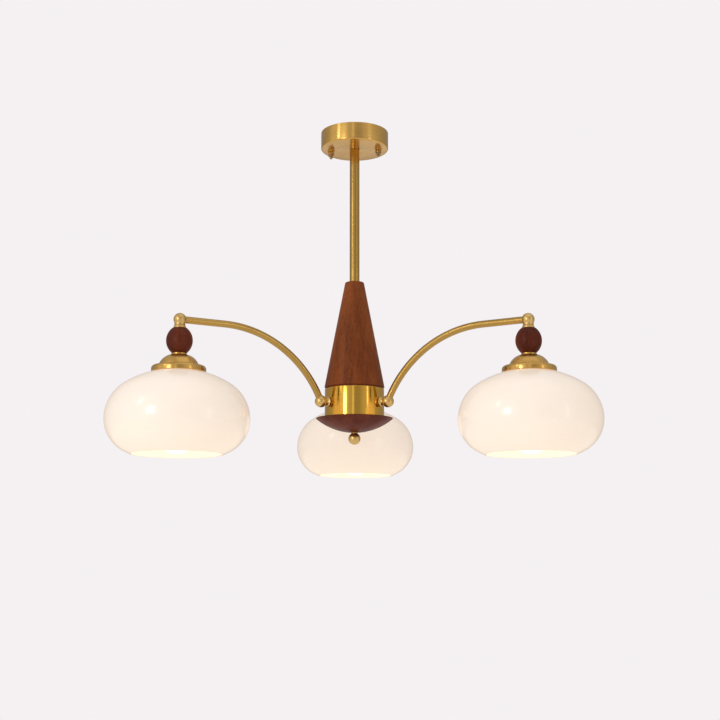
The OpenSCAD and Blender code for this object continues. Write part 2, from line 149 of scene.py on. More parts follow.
def turned(name, outline, segments=96):
    """A closed shape turned about Z. Its UV map runs round (U) and along the outline (V)."""
    points = [Vector(p[:2]) * MM for p in outline]
    twice_area = sum(a.x * b.y - b.x * a.y for a, b in zip(points, points[1:] + points[:1]))
    if twice_area < 0:
        points.reverse()
    bm = bmesh.new()
    uv = bm.loops.layers.uv.new("turned")
    turns = [2 * math.pi * k / segments for k in range(segments)]
    rings = []
    for p in points:
        if p.x < 1e-7:
            rings.append([bm.verts.new((0, 0, p.y))] * segments)
        else:
            ring = [bm.verts.new((p.x * math.cos(t), p.x * math.sin(t), p.y)) for t in turns]
            rings.append(ring)
    run = 0
    for i, p in enumerate(points):
        j = (i + 1) % len(points)
        step = (points[j] - p).length
        if max(p.x, points[j].x) > 1e-7 and step > 1e-7:
            for k in range(segments):
                m = (k + 1) % segments
                loop = [(rings[i][k], k, run), (rings[i][m], k + 1, run),
                        (rings[j][m], k + 1, run + step), (rings[j][k], k, run + step)]
                corners = []
                for corner in loop:
                    if corner[0] not in [c[0] for c in corners]:
                        corners.append(corner)
                face = bm.faces.new([c[0] for c in corners])
                for piece, corner in zip(face.loops, corners):
                    piece[uv].uv = (corner[1] / segments, corner[2])
        run += step
    return finish_mesh(bm, name)


def piece(name, mesh, place, body, slot, replaces=(), finish=None):
    """An object for a finished mesh, put in place and tied to its body."""
    mesh.transform(place)
    thing = bpy.data.objects.new(name, mesh)
    collection.objects.link(thing)
    mesh.materials.clear()
    mesh.materials.append(finish or FINISHES[slot])
    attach(thing, body)
    if replaces:
        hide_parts(*replaces)
    return thing


def merged(name, *meshes):
    """One mesh from several, with their UV maps kept."""
    bm = bmesh.new()
    for mesh in meshes:
        bm.from_mesh(mesh)
        bpy.data.meshes.remove(mesh)
    return finish_mesh(bm, name)


# ---- Node trees ------------------------------------------------------------------

def add(tree, kind, inputs=None, **settings):
    """A node with its settings and inputs; an input may be a value or a socket."""
    made = tree.nodes.new(kind)
    for key, value in settings.items():
        setattr(made, key, value)
    for key, value in (inputs or {}).items():
        if isinstance(value, bpy.types.NodeSocket):
            tree.links.new(value, made.inputs[key])
        else:
            made.inputs[key].default_value = value
    return made


def math_node(tree, operation, first, second=0.0):
    return add(tree, "ShaderNodeMath", {0: first, 1: second}, operation=operation).outputs[0]


def blend_colours(tree, factor, first, second, blend_type="MIX"):
    mix = add(tree, "ShaderNodeMix", {0: factor, 6: first, 7: second},
              data_type="RGBA", blend_type=blend_type)
    return mix.outputs[2]


def fit_range(tree, value, low, high, new_low=0.0, new_high=1.0):
    return add(tree, "ShaderNodeMapRange",
               {0: value, 1: low, 2: high, 3: new_low, 4: new_high}).outputs[0]


def group_tree(kind, name, inputs, outputs):
    """An empty node group with named sockets: (name, socket type, default)."""
    tree = bpy.data.node_groups.new(name, kind)
    for label, socket_type, default in inputs:
        socket = tree.interface.new_socket(label, in_out="INPUT", socket_type=socket_type)
        if default is not None:
            socket.default_value = default
    for label, socket_type in outputs:
        tree.interface.new_socket(label, in_out="OUTPUT", socket_type=socket_type)
    start = tree.nodes.new("NodeGroupInput")
    end = tree.nodes.new("NodeGroupOutput")
    return tree, start.outputs, end.inputs


# ---- Shared shader effects -------------------------------------------------------

def make_turning_lines():
    """Fine rings left by the polishing wheel, running round a turned piece."""
    tree, given, out = group_tree(
        "ShaderNodeTree", "turning_lines",
        [("UV", "NodeSocketVector", None), ("Lines", "NodeSocketFloat", 2500.0),
         ("Length", "NodeSocketFloat", 2.0)],
        [("Height", "NodeSocketFloat"), ("Mask", "NodeSocketFloat")])
    split = add(tree, "ShaderNodeSeparateXYZ", {0: given["UV"]})
    turn = math_node(tree, "MULTIPLY", split.outputs[0], 2 * math.pi)
    across = math_node(tree, "MULTIPLY", split.outputs[1], given["Lines"])
    place = add(tree, "ShaderNodeCombineXYZ", {
        0: math_node(tree, "MULTIPLY", math_node(tree, "COSINE", turn), given["Length"]),
        1: math_node(tree, "MULTIPLY", math_node(tree, "SINE", turn), given["Length"]),
        2: across})
    fine = add(tree, "ShaderNodeTexNoise",
               {"Vector": place.outputs[0], "Scale": 1.0, "Detail": 3.0, "Roughness": 0.65})
    broad = add(tree, "ShaderNodeTexNoise",
                {"Vector": place.outputs[0], "Scale": 0.13, "Detail": 1.0})
    tree.links.new(fine.outputs[0], out["Height"])
    tree.links.new(fit_range(tree, broad.outputs[0], 0.35, 0.65), out["Mask"])
    return tree


def make_cloudiness():
    """Broad soft patches and a fine mottle, for handling marks and uneven lacquer."""
    tree, given, out = group_tree(
        "ShaderNodeTree", "cloudiness",
        [("Vector", "NodeSocketVector", None), ("Patch", "NodeSocketFloat", 30.0),
         ("Mottle", "NodeSocketFloat", 600.0)],
        [("Patches", "NodeSocketFloat"), ("Speckle", "NodeSocketFloat")])
    broad = add(tree, "ShaderNodeTexNoise",
                {"Vector": given["Vector"], "Scale": given["Patch"], "Detail": 3.0,
                 "Roughness": 0.55, "Distortion": 0.4})
    fine = add(tree, "ShaderNodeTexNoise",
               {"Vector": given["Vector"], "Scale": given["Mottle"], "Detail": 2.0})
    tree.links.new(fit_range(tree, broad.outputs[0], 0.35, 0.68), out["Patches"])
    tree.links.new(fit_range(tree, fine.outputs[0], 0.3, 0.7), out["Speckle"])
    return tree


def make_wood_grain():
    """Straight grain up Z: broad growth bands, fibres, and short dark pores."""
    tree, given, out = group_tree(
        "ShaderNodeTree", "wood_grain",
        [("Vector", "NodeSocketVector", None), ("Bands", "NodeSocketFloat", 60.0),
         ("Fibre", "NodeSocketFloat", 420.0), ("Stretch", "NodeSocketFloat", 0.06)],
        [("Tone", "NodeSocketFloat"), ("Pores", "NodeSocketFloat"),
         ("Height", "NodeSocketFloat")])
    stretch = add(tree, "ShaderNodeCombineXYZ", {0: 1.0, 1: 1.0, 2: given["Stretch"]})
    along = add(tree, "ShaderNodeVectorMath", {0: given["Vector"], 1: stretch.outputs[0]},
                operation="MULTIPLY")
    warp = add(tree, "ShaderNodeTexNoise",
               {"Vector": along.outputs[0], "Scale": 26.0, "Detail": 2.0})
    moved = add(tree, "ShaderNodeVectorMath",
                {0: warp.outputs[1], 1: (0.014, 0.014, 0.0), 2: along.outputs[0]},
                operation="MULTIPLY_ADD")
    bands = add(tree, "ShaderNodeTexNoise",
                {"Vector": moved.outputs[0], "Scale": given["Bands"], "Detail": 2.5,
                 "Roughness": 0.5})
    fibres = add(tree, "ShaderNodeTexNoise",
                 {"Vector": moved.outputs[0], "Scale": given["Fibre"], "Detail": 3.0,
                  "Roughness": 0.6})
    tone = math_node(tree, "ADD",
                     math_node(tree, "MULTIPLY", bands.outputs[0], 0.68),
                     math_node(tree, "MULTIPLY", fibres.outputs[0], 0.32))
    pore_noise = add(tree, "ShaderNodeTexNoise",
                     {"Vector": along.outputs[0], "Scale": 900.0, "Detail": 1.0})
    pores = fit_range(tree, pore_noise.outputs[0], 0.60, 0.70)
    tree.links.new(fit_range(tree, tone, 0.33, 0.67), out["Tone"])
    tree.links.new(pores, out["Pores"])
    height = math_node(tree, "SUBTRACT", math_node(tree, "MULTIPLY", fibres.outputs[0], 0.35),
                       pores)
    tree.links.new(height, out["Height"])
    return tree


EFFECTS = {
    "turning_lines": make_turning_lines(),
    "cloudiness": make_cloudiness(),
    "wood_grain": make_wood_grain(),
}


def effect(tree, name, inputs):
    made = add(tree, "ShaderNodeGroup", node_tree=EFFECTS[name])
    for key, value in inputs.items():
        if isinstance(value, bpy.types.NodeSocket):
            tree.links.new(value, made.inputs[key])
        else:
            made.inputs[key].default_value = value
    return made.outputs


# ---- Materials -------------------------------------------------------------------

def new_finish(name, **constants):
    """A material with one Principled shader whose plain values are set on it."""
    material = bpy.data.materials.new(name)
    material.use_nodes = True
    tree = material.node_tree
    shader = tree.nodes["Principled BSDF"]
    for key, value in constants.items():
        shader.inputs[key.replace("_", " ")].default_value = value
    place = tree.nodes.new("ShaderNodeTexCoord").outputs["Object"]
    return material, tree, shader.inputs, place


def bump(tree, socket, height, strength, distance):
    made = add(tree, "ShaderNodeBump",
               {"Strength": strength, "Distance": distance, "Height": height})
    tree.links.new(made.outputs[0], socket)


def brass(name, clean, aged, roughness, patch, line_depth=0.0, lines=0.0):
    """Lacquered brass; rings from the polishing wheel show where line_depth isn't 0."""
    material, tree, socket, place = new_finish(
        name, Metallic=1.0, Anisotropic=0.75 if line_depth else 0.0,
        Anisotropic_Rotation=0.25, Coat_Weight=0.3, Coat_Roughness=0.1)
    clouds = effect(tree, "cloudiness", {"Vector": place, "Patch": patch, "Mottle": 900.0})
    patch_share, ring_share = 0.55, 0.35
    uneven = math_node(tree, "MULTIPLY", clouds["Patches"], patch_share)
    rough = fit_range(tree, clouds["Patches"], 0.0, 1.0, roughness, roughness * 1.45)
    if line_depth:
        uv = add(tree, "ShaderNodeUVMap", uv_map="turned").outputs[0]
        rings = effect(tree, "turning_lines", {"UV": uv, "Lines": lines, "Length": 3.0})
        round_way = add(tree, "ShaderNodeTangent", direction_type="UV_MAP", uv_map="turned")
        tree.links.new(round_way.outputs[0], socket["Tangent"])
        wear = math_node(tree, "MULTIPLY", rings["Mask"], ring_share)
        uneven = math_node(tree, "ADD", uneven, wear)
        bump(tree, socket["Normal"], rings["Height"], line_depth, 0.00012)
    else:
        bump(tree, socket["Normal"], clouds["Speckle"], 0.02, 0.0001)
    tree.links.new(blend_colours(tree, uneven, clean, aged), socket["Base Color"])
    tree.links.new(rough, socket["Roughness"])
    return material


def wood(name, dark, light, pore, bands, stretch, coat):
    """Oiled and lacquered walnut with its grain up the piece."""
    material, tree, socket, place = new_finish(
        name, Coat_Weight=coat, Coat_Roughness=0.2, Specular_IOR_Level=0.06)
    grain = effect(tree, "wood_grain",
                   {"Vector": place, "Bands": bands, "Fibre": bands * 7, "Stretch": stretch})
    clouds = effect(tree, "cloudiness", {"Vector": place, "Patch": 24.0, "Mottle": 700.0})
    colour = blend_colours(tree, grain["Tone"], dark, light)
    depth = math_node(tree, "MULTIPLY", clouds["Patches"], 0.3)
    colour = blend_colours(tree, depth, colour, dark)
    veins = math_node(tree, "MULTIPLY", grain["Pores"], 0.55)
    colour = blend_colours(tree, veins, colour, pore)
    tree.links.new(colour, socket["Base Color"])
    tree.links.new(fit_range(tree, grain["Tone"], 0.0, 1.0, 0.46, 0.34), socket["Roughness"])
    bump(tree, socket["Normal"], grain["Height"], 0.25, 0.0002)
    return material


def opal_glass():
    """White cased glass, glossy outside. Its glow is painted light: an emission stands in for the
    bulb's light.
    """
    material, tree, socket, place = new_finish(
        "opal_glass_finish", Coat_Weight=0.4, Coat_Roughness=0.06, Coat_IOR=1.5,
        Specular_IOR_Level=0.5, Emission_Strength=1.0)
    clouds = effect(tree, "cloudiness", {"Vector": place, "Patch": 11.0, "Mottle": 260.0})
    # Painted glow: the emission changes with height, yellowest at the mouth, and dims a little in
    # patches.
    height = add(tree, "ShaderNodeSeparateXYZ", {0: place}).outputs[2]
    near_mouth = fit_range(tree, height, top("shade_left") * MM, bottom("shade_left") * MM)
    painted_glow_ramp = add(tree, "ShaderNodeValToRGB", {0: near_mouth})
    ramp = painted_glow_ramp.color_ramp
    ramp.elements[0].color = (0.40, 0.285, 0.19, 1)
    ramp.elements[1].color = (0.42, 0.275, 0.12, 1)
    middle = ramp.elements.new(0.6)
    middle.color = (0.385, 0.265, 0.165, 1)
    patches = math_node(tree, "MULTIPLY", clouds["Patches"], 0.10)
    painted_glow_colour = blend_colours(tree, patches, painted_glow_ramp.outputs[0], (0.16, 0.12, 0.09, 1))
    body_colour = blend_colours(tree, patches, (0.86, 0.845, 0.82, 1), (0.82, 0.79, 0.75, 1))
    tree.links.new(body_colour, socket["Base Color"])
    tree.links.new(painted_glow_colour, socket["Emission Color"])
    tree.links.new(fit_range(tree, clouds["Patches"], 0, 1, 0.22, 0.30), socket["Roughness"])
    bump(tree, socket["Normal"], clouds["Patches"], 0.06, 0.0015)
    return material


def bulb_glass():
    """Frosted lamp glass that glows warm, a little unevenly."""
    material, tree, socket, place = new_finish(
        "bulb_glass_finish", Roughness=0.35, Emission_Strength=1.15)
    clouds = effect(tree, "cloudiness", {"Vector": place, "Patch": 40.0, "Mottle": 900.0})
    patches = math_node(tree, "MULTIPLY", clouds["Patches"], 0.25)
    colour = blend_colours(tree, patches, (1.0, 0.92, 0.74, 1), (1.0, 0.86, 0.62, 1))
    tree.links.new(colour, socket["Emission Color"])
    socket["Base Color"].default_value = (0.9, 0.88, 0.84, 1)
    bump(tree, socket["Normal"], clouds["Speckle"], 0.05, 0.0001)
    return material


def plated_steel():
    """Zinc-plated steel: cool grey, faintly mottled."""
    material, tree, socket, place = new_finish("plated_steel_finish", Metallic=1.0)
    clouds = effect(tree, "cloudiness", {"Vector": place, "Patch": 90.0, "Mottle": 1400.0})
    colour = blend_colours(tree, clouds["Patches"], (0.60, 0.61, 0.63, 1), (0.46, 0.46, 0.47, 1))
    tree.links.new(colour, socket["Base Color"])
    tree.links.new(fit_range(tree, clouds["Speckle"], 0, 1, 0.26, 0.42), socket["Roughness"])
    bump(tree, socket["Normal"], clouds["Speckle"], 0.08, 0.0001)
    return material


def cream_plastic():
    """Moulded heat-proof plastic with a fine matt texture."""
    material, tree, socket, place = new_finish(
        "cream_plastic_finish", Specular_IOR_Level=0.45)
    clouds = effect(tree, "cloudiness", {"Vector": place, "Patch": 60.0, "Mottle": 2200.0})
    colour = blend_colours(tree, clouds["Patches"], (0.80, 0.76, 0.68, 1), (0.74, 0.69, 0.60, 1))
    tree.links.new(colour, socket["Base Color"])
    tree.links.new(fit_range(tree, clouds["Patches"], 0, 1, 0.42, 0.55), socket["Roughness"])
    bump(tree, socket["Normal"], clouds["Speckle"], 0.12, 0.0001)
    return material


FINISHES = {
    "satin_brass": brass("satin_brass_finish", (0.82, 0.49, 0.13, 1), (0.72, 0.40, 0.09, 1),
                         roughness=0.21, patch=26.0, line_depth=0.10, lines=5200.0),
    "polished_brass": brass("polished_brass_finish", (0.86, 0.49, 0.07, 1),
                            (0.78, 0.42, 0.05, 1), roughness=0.12, patch=22.0,
                            line_depth=0.06, lines=4200.0),
    "walnut": wood("walnut_finish", (0.155, 0.036, 0.010, 1), (0.38, 0.100, 0.023, 1),
                   (0.050, 0.013, 0.005, 1), bands=46.0, stretch=0.02, coat=0.10),
    "dark_walnut": wood("dark_walnut_finish", (0.090, 0.017, 0.009, 1),
                        (0.220, 0.048, 0.019, 1), (0.03, 0.007, 0.005, 1),
                        bands=60.0, stretch=0.12, coat=0.08),
    "opal_glass": opal_glass(),
    "bulb_glass": bulb_glass(),
    "plated_steel": plated_steel(),
    "cream_plastic": cream_plastic(),
}
# Brass on the balls and collars, on the tubes, and, darkened as painted shade, on the small nuts
# and the earth screw.
SOFT_BRASS = brass("soft_brass_finish", (0.84, 0.56, 0.20, 1), (0.72, 0.45, 0.14, 1),
                   roughness=0.28, patch=22.0)
TUBE_BRASS = brass("tube_brass_finish", (0.57, 0.34, 0.08, 1), (0.48, 0.27, 0.055, 1),
                   roughness=0.20, patch=22.0)
# Painted shade: this brass is darkened to stand in for the dark surroundings the small nuts
# reflect.
SHADED_BRASS = brass("shaded_brass_finish", (0.52, 0.34, 0.15, 1), (0.36, 0.21, 0.08, 1),
                   roughness=0.22, patch=60.0)


# ---- Shapes that repeat or follow a path, as Geometry Nodes -----------------------

def make_ring_of():
    """Copies of one part set round the Z axis."""
    tree, given, out = group_tree(
        "GeometryNodeTree", "ring_of",
        [("Part", "NodeSocketGeometry", None), ("Count", "NodeSocketInt", 12),
         ("Finish", "NodeSocketMaterial", None)],
        [("Mesh", "NodeSocketGeometry")])
    points = add(tree, "GeometryNodePoints", {"Count": given["Count"]})
    index = add(tree, "GeometryNodeInputIndex")
    part_turn = math_node(tree, "DIVIDE", 2 * math.pi, given["Count"])
    turn = math_node(tree, "MULTIPLY", index.outputs[0], part_turn)
    spin = add(tree, "ShaderNodeCombineXYZ", {2: turn})
    copies = add(tree, "GeometryNodeInstanceOnPoints",
                 {"Points": points.outputs[0], "Instance": given["Part"],
                  "Rotation": spin.outputs[0]})
    real = add(tree, "GeometryNodeRealizeInstances", {"Geometry": copies.outputs[0]})
    coated = add(tree, "GeometryNodeSetMaterial",
                 {"Geometry": real.outputs[0], "Material": given["Finish"]})
    tree.links.new(coated.outputs[0], out["Mesh"])
    return tree


def make_screw_thread():
    """One rounded ridge that climbs a cylinder as a right-hand thread."""
    tree, given, out = group_tree(
        "GeometryNodeTree", "screw_thread",
        [("Part", "NodeSocketGeometry", None), ("Turns", "NodeSocketFloat", 5.0),
         ("Radius", "NodeSocketFloat", 0.01), ("Rise", "NodeSocketFloat", 0.01),
         ("Ridge", "NodeSocketFloat", 0.001), ("Start", "NodeSocketFloat", 0.0),
         ("Steps", "NodeSocketInt", 32), ("Sides", "NodeSocketInt", 8),
         ("Finish", "NodeSocketMaterial", None)],
        [("Mesh", "NodeSocketGeometry")])
    spiral = add(tree, "GeometryNodeCurveSpiral",
                 {"Resolution": given["Steps"], "Rotations": given["Turns"],
                  "Start Radius": given["Radius"], "End Radius": given["Radius"],
                  "Height": given["Rise"]})
    ridge = add(tree, "GeometryNodeCurvePrimitiveCircle",
                {"Resolution": given["Sides"], "Radius": given["Ridge"]})
    solid = add(tree, "GeometryNodeCurveToMesh",
                {"Curve": spiral.outputs[0], "Profile Curve": ridge.outputs[0],
                 "Fill Caps": True})
    lift = add(tree, "ShaderNodeCombineXYZ", {2: given["Start"]})
    raised = add(tree, "GeometryNodeTransform",
                 {"Geometry": solid.outputs[0], "Translation": lift.outputs[0]})
    real = add(tree, "GeometryNodeRealizeInstances", {"Geometry": raised.outputs[0]})
    coated = add(tree, "GeometryNodeSetMaterial",
                 {"Geometry": real.outputs[0], "Material": given["Finish"]})
    tree.links.new(coated.outputs[0], out["Mesh"])
    return tree


def make_bent_tube():
    """A round tube along a path of edges, closed at both ends."""
    tree, given, out = group_tree(
        "GeometryNodeTree", "bent_tube",
        [("Path", "NodeSocketGeometry", None), ("Radius", "NodeSocketFloat", 0.005),
         ("Sides", "NodeSocketInt", 40), ("Finish", "NodeSocketMaterial", None)],
        [("Mesh", "NodeSocketGeometry")])
    line = add(tree, "GeometryNodeMeshToCurve", {"Mesh": given["Path"]})
    section = add(tree, "GeometryNodeCurvePrimitiveCircle",
                  {"Resolution": given["Sides"], "Radius": given["Radius"]})
    solid = add(tree, "GeometryNodeCurveToMesh",
                {"Curve": line.outputs[0], "Profile Curve": section.outputs[0],
                 "Fill Caps": True})
    real = add(tree, "GeometryNodeRealizeInstances", {"Geometry": solid.outputs[0]})
    coated = add(tree, "GeometryNodeSetMaterial",
                 {"Geometry": real.outputs[0], "Material": given["Finish"]})
    tree.links.new(coated.outputs[0], out["Mesh"])
    return tree


SHAPES = {
    "ring_of": make_ring_of(),
    "screw_thread": make_screw_thread(),
    "bent_tube": make_bent_tube(),
}


def grown(name, shape, start_mesh, inputs):
    """Runs a Geometry Nodes shape on a starting mesh and keeps the plain mesh."""
    holder = bpy.data.objects.new(name, start_mesh)
    collection.objects.link(holder)
    modifier = holder.modifiers.new(shape, "NODES")
    modifier.node_group = SHAPES[shape]
    for item in SHAPES[shape].interface.items_tree:
        if item.item_type == "SOCKET" and item.in_out == "INPUT" and item.name in inputs:
            modifier[item.identifier] = inputs[item.name]
    depsgraph = bpy.context.evaluated_depsgraph_get()
    result = bpy.data.meshes.new_from_object(holder.evaluated_get(depsgraph))
    holder.modifiers.clear()
    bpy.data.objects.remove(holder)
    bpy.data.meshes.remove(start_mesh)
    result.name = name
    bm = bmesh.new()
    bm.from_mesh(result)
    bpy.data.meshes.remove(result)
    bmesh.ops.remove_doubles(bm, verts=bm.verts, dist=1e-7)
    bmesh.ops.recalc_face_normals(bm, faces=bm.faces)
    return finish_mesh(bm, name)


def rib_mesh(place_r, middle, size_r, length, segments):
    """One upright rod, to be set round a grip."""
    bm = bmesh.new()
    bmesh.ops.create_cone(bm, cap_ends=True, segments=segments, radius1=size_r * MM,
                          radius2=size_r * MM, depth=length * MM,
                          matrix=Matrix.Translation((place_r * MM, 0, middle * MM)))
    rib = bpy.data.meshes.new("rib")
    bm.to_mesh(rib)
    bm.free()
    return rib


def thread_mesh(name, size_r, low, high, pitch, ridge, finish, sides=8):
    turns = (high - low) / pitch
    return grown(name, "screw_thread", bpy.data.meshes.new(name + "_start"), {
        "Turns": turns, "Radius": size_r * MM, "Rise": (high - low) * MM,
        "Ridge": ridge * MM, "Start": low * MM, "Steps": 28, "Sides": sides,
        "Finish": FINISHES[finish]})


# ---- Canopy and stem -------------------------------------------------------------

def make_canopy():
    """Spun cup with a hemmed rim against the ceiling and a softly rolled lower edge."""
    outer = radius("canopy")
    inner = outer - SPUN_WALL
    floor = bottom("canopy")
    floor_top = floor + SPUN_WALL
    bore = 5.2
    corners = [(outer, top("canopy"), 0.5), (inner, top("canopy"), 0.5),
               (inner, floor_top, 1.3), (bore, floor_top), (bore, floor, 0.3),
               (outer, floor, 2.6)]
    piece("canopy_cup", turned("canopy_cup", rounded(corners, 6), 160), Matrix(), "root",
          "satin_brass", ["canopy"])


def make_canopy_washer(side):
    node = "canopy_washer_" + side
    low, high = bottom(node), top(node)
    corners = [(2.15, low, 0.2), (radius(node), low, 0.3), (radius(node), high, 0.3),
               (2.15, high, 0.2)]
    piece(node + "_disc", turned(node, rounded(corners, 3), 64), axis_place(node), node,
          "polished_brass", [node])


def make_canopy_nut(side):
    """Fluted drum, waist, thin disc and bead."""
    node = "canopy_nut_" + side
    high = top(node)
    drum, waist, disc = 4.4, 2.4, 4.3
    drum_end = high - 5.5
    outline = [(2.05, high), (2.05, high - 5.0), (0, high - 5.0)]
    outline += arc(0, drum_end - 4.2, 2.3, 180, 42, 14)
    outline += [(1.55, drum_end - 2.5), (disc, drum_end - 2.2, 0.3),
                (disc, drum_end - 1.2, 0.3), (waist, drum_end - 0.8, 0.3),
                (waist, drum_end, 0.2), (drum, drum_end, 0.35), (drum, high, 0.35)]
    body = turned(node, rounded(outline, 4), 64)
    rib = rib_mesh(drum, high - 2.75, 0.36, 4.4, 8)
    ribs = grown(node + "_ribs", "ring_of", rib,
                 {"Count": 18, "Finish": SHADED_BRASS})
    piece(node + "_knurled", merged(node, body, ribs), axis_place(node), node,
          "polished_brass", [node], SHADED_BRASS)


def make_stem():
    """Straight tube between canopy and cone."""
    outer = radius("stem")
    corners = [(5.1, top("stem"), 0.3), (outer, top("stem"), 0.5), (outer, bottom("stem"), 0.5),
               (5.1, bottom("stem"), 0.3)]
    piece("stem_tube", turned("stem_tube", rounded(corners, 4), 96), Matrix(), "root",
          "satin_brass", ["stem"], TUBE_BRASS)


def make_cone():
    """Turned walnut cone with eased edges."""
    base, tip = radius("cone"), 14.25
    low, high = bottom("cone"), top("cone")
    bore = radius("stem") + 0.3
    gap, shadow = 2.0, 3.0
    outline = rounded([(bore, high, 0.4), (tip, high, 1.6), (base, low + gap, 0.8),
                       (base - shadow, low + gap, 0.3), (base - shadow, low), (bore, low)], 6)
    piece("walnut_cone", turned("walnut_cone", outline, 160), Matrix(), "root", "walnut",
          ["cone"])


def make_hub():
    """Polished drum: a cup with its floor uppermost."""
    low, high = bottom("hub_drum"), top("hub_drum")
    inner = HUB_R - 1.5
    ceiling = high - 2
    bore = 5.2
    corners = [(bore, high, 0.2), (HUB_R, high, 0.9), (HUB_R, low, 0.5), (inner, low, 0.5),
               (inner, ceiling, 1.0), (bore, ceiling, 0.2)]
    piece("hub_cup", turned("hub_cup", rounded(corners, 5), 160), Matrix(), "root",
          "polished_brass", ["hub_drum"])


def make_dish():
    """Shallow turned bowl with a fine rim and a step that centres it in the hub."""
    rim = radius("dish")
    low = bottom("dish")
    rim_z = bottom("hub_drum") - 0.1
    depth = rim_z - low
    ball = (rim ** 2 + depth ** 2) / (2 * depth)
    reach = math.degrees(math.asin((rim - 0.4) / ball))
    bore, spigot = 3.3, HUB_R - 2
    outline = [(bore, low)]
    outline += arc(0, low + ball, ball, 180 - 1.8, 180 - reach, 40)
    outline += [(rim, rim_z - 0.5, 0.15), (rim - 0.4, rim_z, 0.15), (spigot, rim_z, 0.2),
                (spigot, top("dish"), 0.5), (bore, top("dish"), 0.3)]
    piece("walnut_dish", turned("walnut_dish", rounded(outline, 3), 160), Matrix(), "dish",
          "dark_walnut", ["dish"])


def make_finial():
    """Brass ball with a short waisted neck."""
    high = top("finial")
    centre = bottom("finial") + BALL_R
    outline = arc(0, centre, BALL_R, 180, 33, 30)
    tapped_r = 3.05
    outline += [(4.7, centre + 8.2), (4.9, high, 0.2), (tapped_r, high), (tapped_r, centre),
                (0, centre)]
    piece("finial_ball", turned("finial_ball", rounded(outline, 3), 80), Matrix(), "finial",
          "polished_brass", ["finial"], SOFT_BRASS)


# ---- Arms ------------------------------------------------------------------------

def ball_and_neck(flare):
    """Outline of a ball with a neck below it; the neck may flare into a foot."""
    foot, stub = 7.7, 5
    foot_z, stub_z = -12.2, -22
    neck = 5.4 if flare else foot
    meet = 180 - math.degrees(math.asin(neck / BALL_R))
    outline = arc(0, 0, BALL_R, 0, meet, 36)
    if flare:
        outline += [(neck, -9.4, 1.6), (foot, foot_z + 0.9, 0.4), (foot, foot_z, 0.2),
                    (stub, foot_z), (stub, stub_z, 0.6), (0, stub_z)]
    else:
        outline += [(neck, -NECK_DROP, 0.4), (0, -NECK_DROP)]
    return rounded(outline, 4)


def make_knuckle(side):
    """Ball at the hub with its foot against the drum and its stub through the wall."""
    node = "knuckle_" + side
    place = arm_place(side) @ Matrix.Translation((KNUCKLE_R * MM, 0, KNUCKLE_Z * MM))
    place = place @ Matrix.Rotation(math.pi / 2, 4, "Y")
    piece(node + "_ball", turned(node, ball_and_neck(True), 80), place, "arm_" + side,
          "polished_brass", [node], SOFT_BRASS)


def make_arm_tube(side):
    """One bend up out of the hub ball, then a level end into the elbow ball."""
    node = "arm_tube_" + side
    steps = 48
    bend_end = KNUCKLE_R + BEND_R * math.sin(math.radians(BEND_ANGLE))
    inset = math.degrees(ARM_INSET / BEND_R)
    points = []
    for k in range(steps + 1):
        lean = math.radians((BEND_ANGLE - inset) * (1 - k / steps))
        points.append((bend_end - BEND_R * math.sin(lean),
                       ELBOW_Z - BEND_R * (1 - math.cos(lean))))
    points.append((LAMP_REACH - ARM_INSET, ELBOW_Z))
    bm = bmesh.new()
    path = [bm.verts.new((x * MM, 0, z * MM)) for x, z in points]
    for one, other in zip(path, path[1:]):
        bm.edges.new((one, other))
    line = bpy.data.meshes.new("path")
    bm.to_mesh(line)
    bm.free()
    tube = grown(node, "bent_tube", line,
                 {"Radius": TUBE_R * MM, "Sides": 48, "Finish": TUBE_BRASS})
    piece(node + "_bent", tube, arm_place(side), "arm_" + side, "polished_brass", [node],
          TUBE_BRASS)


def make_elbow(side):
    node = "elbow_" + side
    place = axis_place(node) @ Matrix.Translation((0, 0, ELBOW_Z * MM))
    piece(node + "_ball", turned(node, ball_and_neck(False), 80), place, "arm_" + side,
          "polished_brass", [node], SOFT_BRASS)


# ---- Lamps -----------------------------------------------------------------------

def make_collar(side):
    """Flared ring with a rolled bead, between the elbow and the wooden bead."""
    node = "collar_" + side
    low, high = bottom(node), top(node)
    corners = [(5.1, high), (7.7, high, 0.3), (7.7, high - 0.9, 0.2), (8.6, high - 1.5, 0.4),
               (8.1, high - 2.2, 0.3), (8.8, high - 3.0, 0.5), (8.8, low, 0.4), (5.1, low)]
    piece(node + "_ring", turned(node, rounded(corners, 3), 80), axis_place(node),
          "lamp_" + side, "polished_brass", [node], SOFT_BRASS)


def make_bead(side):
    """Turned wooden bead between two flats."""
    node = "bead_" + side
    low, high = bottom(node), top(node)
    bore, flat, curve_end = 5.3, 9.4, 10
    widest = radius(node)
    half = (high - low) / 2
    bulge = widest - curve_end
    curve = (half ** 2 + bulge ** 2) / (2 * bulge)
    reach = math.degrees(math.asin(half / curve))
    outline = [(bore, low), (flat, low)]
    outline += arc(widest - curve, low + half, curve, 90 + reach - 1, 90 - reach + 1, 40)
    outline += [(flat, high), (bore, high)]
    piece(node + "_turned", turned(node, outline, 96), axis_place(node), "lamp_" + side,
          "dark_walnut", [node])


